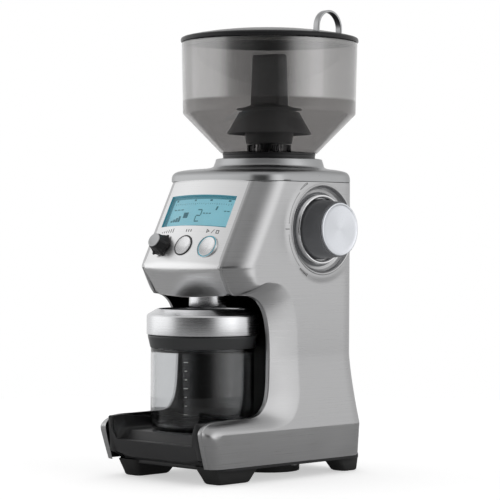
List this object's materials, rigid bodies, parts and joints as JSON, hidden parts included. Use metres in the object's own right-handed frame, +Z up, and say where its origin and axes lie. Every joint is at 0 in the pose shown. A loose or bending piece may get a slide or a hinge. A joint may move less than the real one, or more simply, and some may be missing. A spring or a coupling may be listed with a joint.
{
  "type": "burr coffee grinder",
  "caption": "Upright electric burr coffee grinder with smoked hopper, tilted display panel, side grind dial, and a lidded jar on a pull-out tray.",
  "frame": {"origin": "on the standing surface under the burr axis, at the centre of the round pad under the base", "axes": "+X towards the grind dial's side, +Y towards the back, -Y towards the display and jar, +Z up"},
  "size_m": [0.1566, 0.2117, 0.3841],
  "materials": {
    "brushed_steel": "horizontal brushed stainless",
    "panel_steel": "fine satin stainless",
    "cap_metal": "satin silver",
    "spun_steel": "spun, circular grain",
    "chrome": "polished",
    "black_plastic": "fine moulded texture",
    "dark_plastic": "satin moulded",
    "lid_plastic": "satin dark grey",
    "smoke_clear": "smoked transparent",
    "jar_clear": "clear transparent",
    "guard_clear": "smoked transparent",
    "silicone": "matte translucent",
    "rubber": "matte",
    "lcd_glass": "clear cover",
    "lcd_blue": "back-lit display",
    "light_teal": "translucent light ring",
    "circuit_green": "solder mask",
    "machined_steel": "turned",
    "motor_zinc": "zinc plated",
    "copper_winding": "enamelled winding",
    "brass": "machined",
    "gear_nylon": "natural nylon",
    "carrier_plastic": "satin moulded"
  },
  "bodies": {
    "housing": {"base_plate": "black_plastic", "rubber_feet": "rubber", "base_screws": "machined_steel", "body_shell": "brushed_steel", "front_panel": "panel_steel", "front_frame": "dark_plastic", "recess_liner": "black_plastic", "top_cap": "cap_metal", "lcd_window": "lcd_glass", "lcd_module": "lcd_blue", "control_board": "circuit_green", "preset_bezel": "black_plastic", "start_light_ring": "light_teal", "inner_frame": "dark_plastic", "power_board": "circuit_green", "motor_can": "motor_zinc", "motor_cap": "motor_zinc", "gearbox_base": "dark_plastic", "gearbox_cover": "dark_plastic", "idler_pin": "machined_steel", "shaft_bearings": "machined_steel", "grinding_chamber": "dark_plastic", "grind_chute": "black_plastic", "outlet_spout": "brushed_steel", "dial_dish": "brushed_steel", "dial_ring": "chrome", "dial_bush": "gear_nylon", "hopper_switch": "black_plastic", "cord_gland": "rubber"},
    "motor_rotor": {"motor_armature": "copper_winding", "motor_pinion": "brass"},
    "idler": {"idler_gear": "gear_nylon"},
    "burr_drive": {"output_gear": "gear_nylon", "burr_shaft": "machined_steel", "impeller": "brass", "lower_burr": "machined_steel"},
    "burr_holder": {"burr_carrier": "carrier_plastic", "upper_burr": "machined_steel"},
    "adjuster": {"adjust_ring": "gear_nylon"},
    "grind_dial": {"dial_shaft": "machined_steel", "dial_pinion": "gear_nylon", "dial_knob": "dark_plastic", "dial_cap": "spun_steel"},
    "amount_push": {"amount_spindle": "machined_steel"},
    "amount_dial": {"amount_knob": "black_plastic"},
    "preset_key": {"preset_button": "spun_steel"},
    "start_key": {"start_button": "spun_steel"},
    "hopper": {"hopper_bin": "smoke_clear", "hopper_ring": "black_plastic", "hopper_guard": "guard_clear"},
    "hopper_lock": {"hopper_shutter": "dark_plastic", "lock_knob": "dark_plastic"},
    "hopper_lid": {"lid": "lid_plastic", "lid_seal": "silicone", "lid_loop": "cap_metal"},
    "ground_jar": {"jar": "jar_clear", "jar_rim": "black_plastic"},
    "jar_top": {"jar_lid": "spun_steel"},
    "drip_tray": {"tray": "dark_plastic"}
  },
  "joints": [
    {"name": "motor_spin", "type": "hinge", "parent": "housing", "child": "motor_rotor", "pos_m": [0, 0.02, 0.1], "axis": [0, 0, 1], "continuous": true},
    {"name": "idler_spin", "type": "hinge", "parent": "housing", "child": "idler", "pos_m": [0.02296, 0.01302, 0.15], "axis": [0, 0, 1], "continuous": true},
    {"name": "burr_spin", "type": "hinge", "parent": "housing", "child": "burr_drive", "pos_m": [0, 0, 0.2], "axis": [0, 0, 1], "continuous": true},
    {"name": "dial_turn", "type": "hinge", "parent": "housing", "child": "grind_dial", "pos_m": [0.07, 0, 0.2035], "axis": [1, 0, 0], "range_deg": [-150, 150]},
    {"name": "ring_turn", "type": "hinge", "parent": "housing", "child": "adjuster", "pos_m": [0, 0, 0.218], "axis": [0, 0, 1], "range_deg": [-38, 38]},
    {"name": "burr_shift", "type": "slide", "parent": "housing", "child": "burr_holder", "axis": [0, 0, 1], "range_m": [-0.00075, 0.00075]},
    {"name": "amount_press", "type": "slide", "parent": "housing", "child": "amount_push", "axis": [0, 0.8883, -0.4593], "range_m": [0, 0.0006], "stiffness_N_per_m": 300, "springref_m": -0.0006},
    {"name": "amount_turn", "type": "hinge", "parent": "amount_push", "child": "amount_dial", "pos_m": [-0.026, -0.09924, 0.18918], "axis": [0, -0.8883, 0.4593], "continuous": true},
    {"name": "preset_press", "type": "slide", "parent": "housing", "child": "preset_key", "axis": [0, 0.8883, -0.4593], "range_m": [0, 0.0012], "stiffness_N_per_m": 300, "springref_m": -0.0006},
    {"name": "start_press", "type": "slide", "parent": "housing", "child": "start_key", "axis": [0, 0.8883, -0.4593], "range_m": [0, 0.0012], "stiffness_N_per_m": 300, "springref_m": -0.0006},
    {"name": "hopper_lift", "type": "slide", "parent": "housing", "child": "hopper", "axis": [0, 0, 1], "range_m": [0, 0.12]},
    {"name": "lock_turn", "type": "hinge", "parent": "hopper", "child": "hopper_lock", "pos_m": [0, 0, 0.3], "axis": [0, 0, 1], "range_deg": [0, 90]},
    {"name": "lid_lift", "type": "slide", "parent": "hopper", "child": "hopper_lid", "axis": [0, 0, 1], "range_m": [0, 0.12]},
    {"name": "jar_slide", "type": "slide", "parent": "housing", "child": "ground_jar", "axis": [0, -1, 0], "range_m": [0, 0.14]},
    {"name": "jar_lid_turn", "type": "hinge", "parent": "ground_jar", "child": "jar_top", "pos_m": [0, -0.078, 0.125], "axis": [0, 0, 1], "range_deg": [0, 60]},
    {"name": "tray_slide", "type": "slide", "parent": "housing", "child": "drip_tray", "axis": [0, -1, 0], "range_m": [0, 0.11]}
  ],
  "couplings": [
    {"joint": "idler_spin", "follows": "motor_spin", "ratio": -0.33333},
    {"joint": "burr_spin", "follows": "motor_spin", "ratio": 0.11111},
    {"joint": "dial_turn", "follows": "burr_shift", "rad_per_m": 3490.7},
    {"joint": "ring_turn", "follows": "burr_shift", "rad_per_m": -872.66}
  ]
}
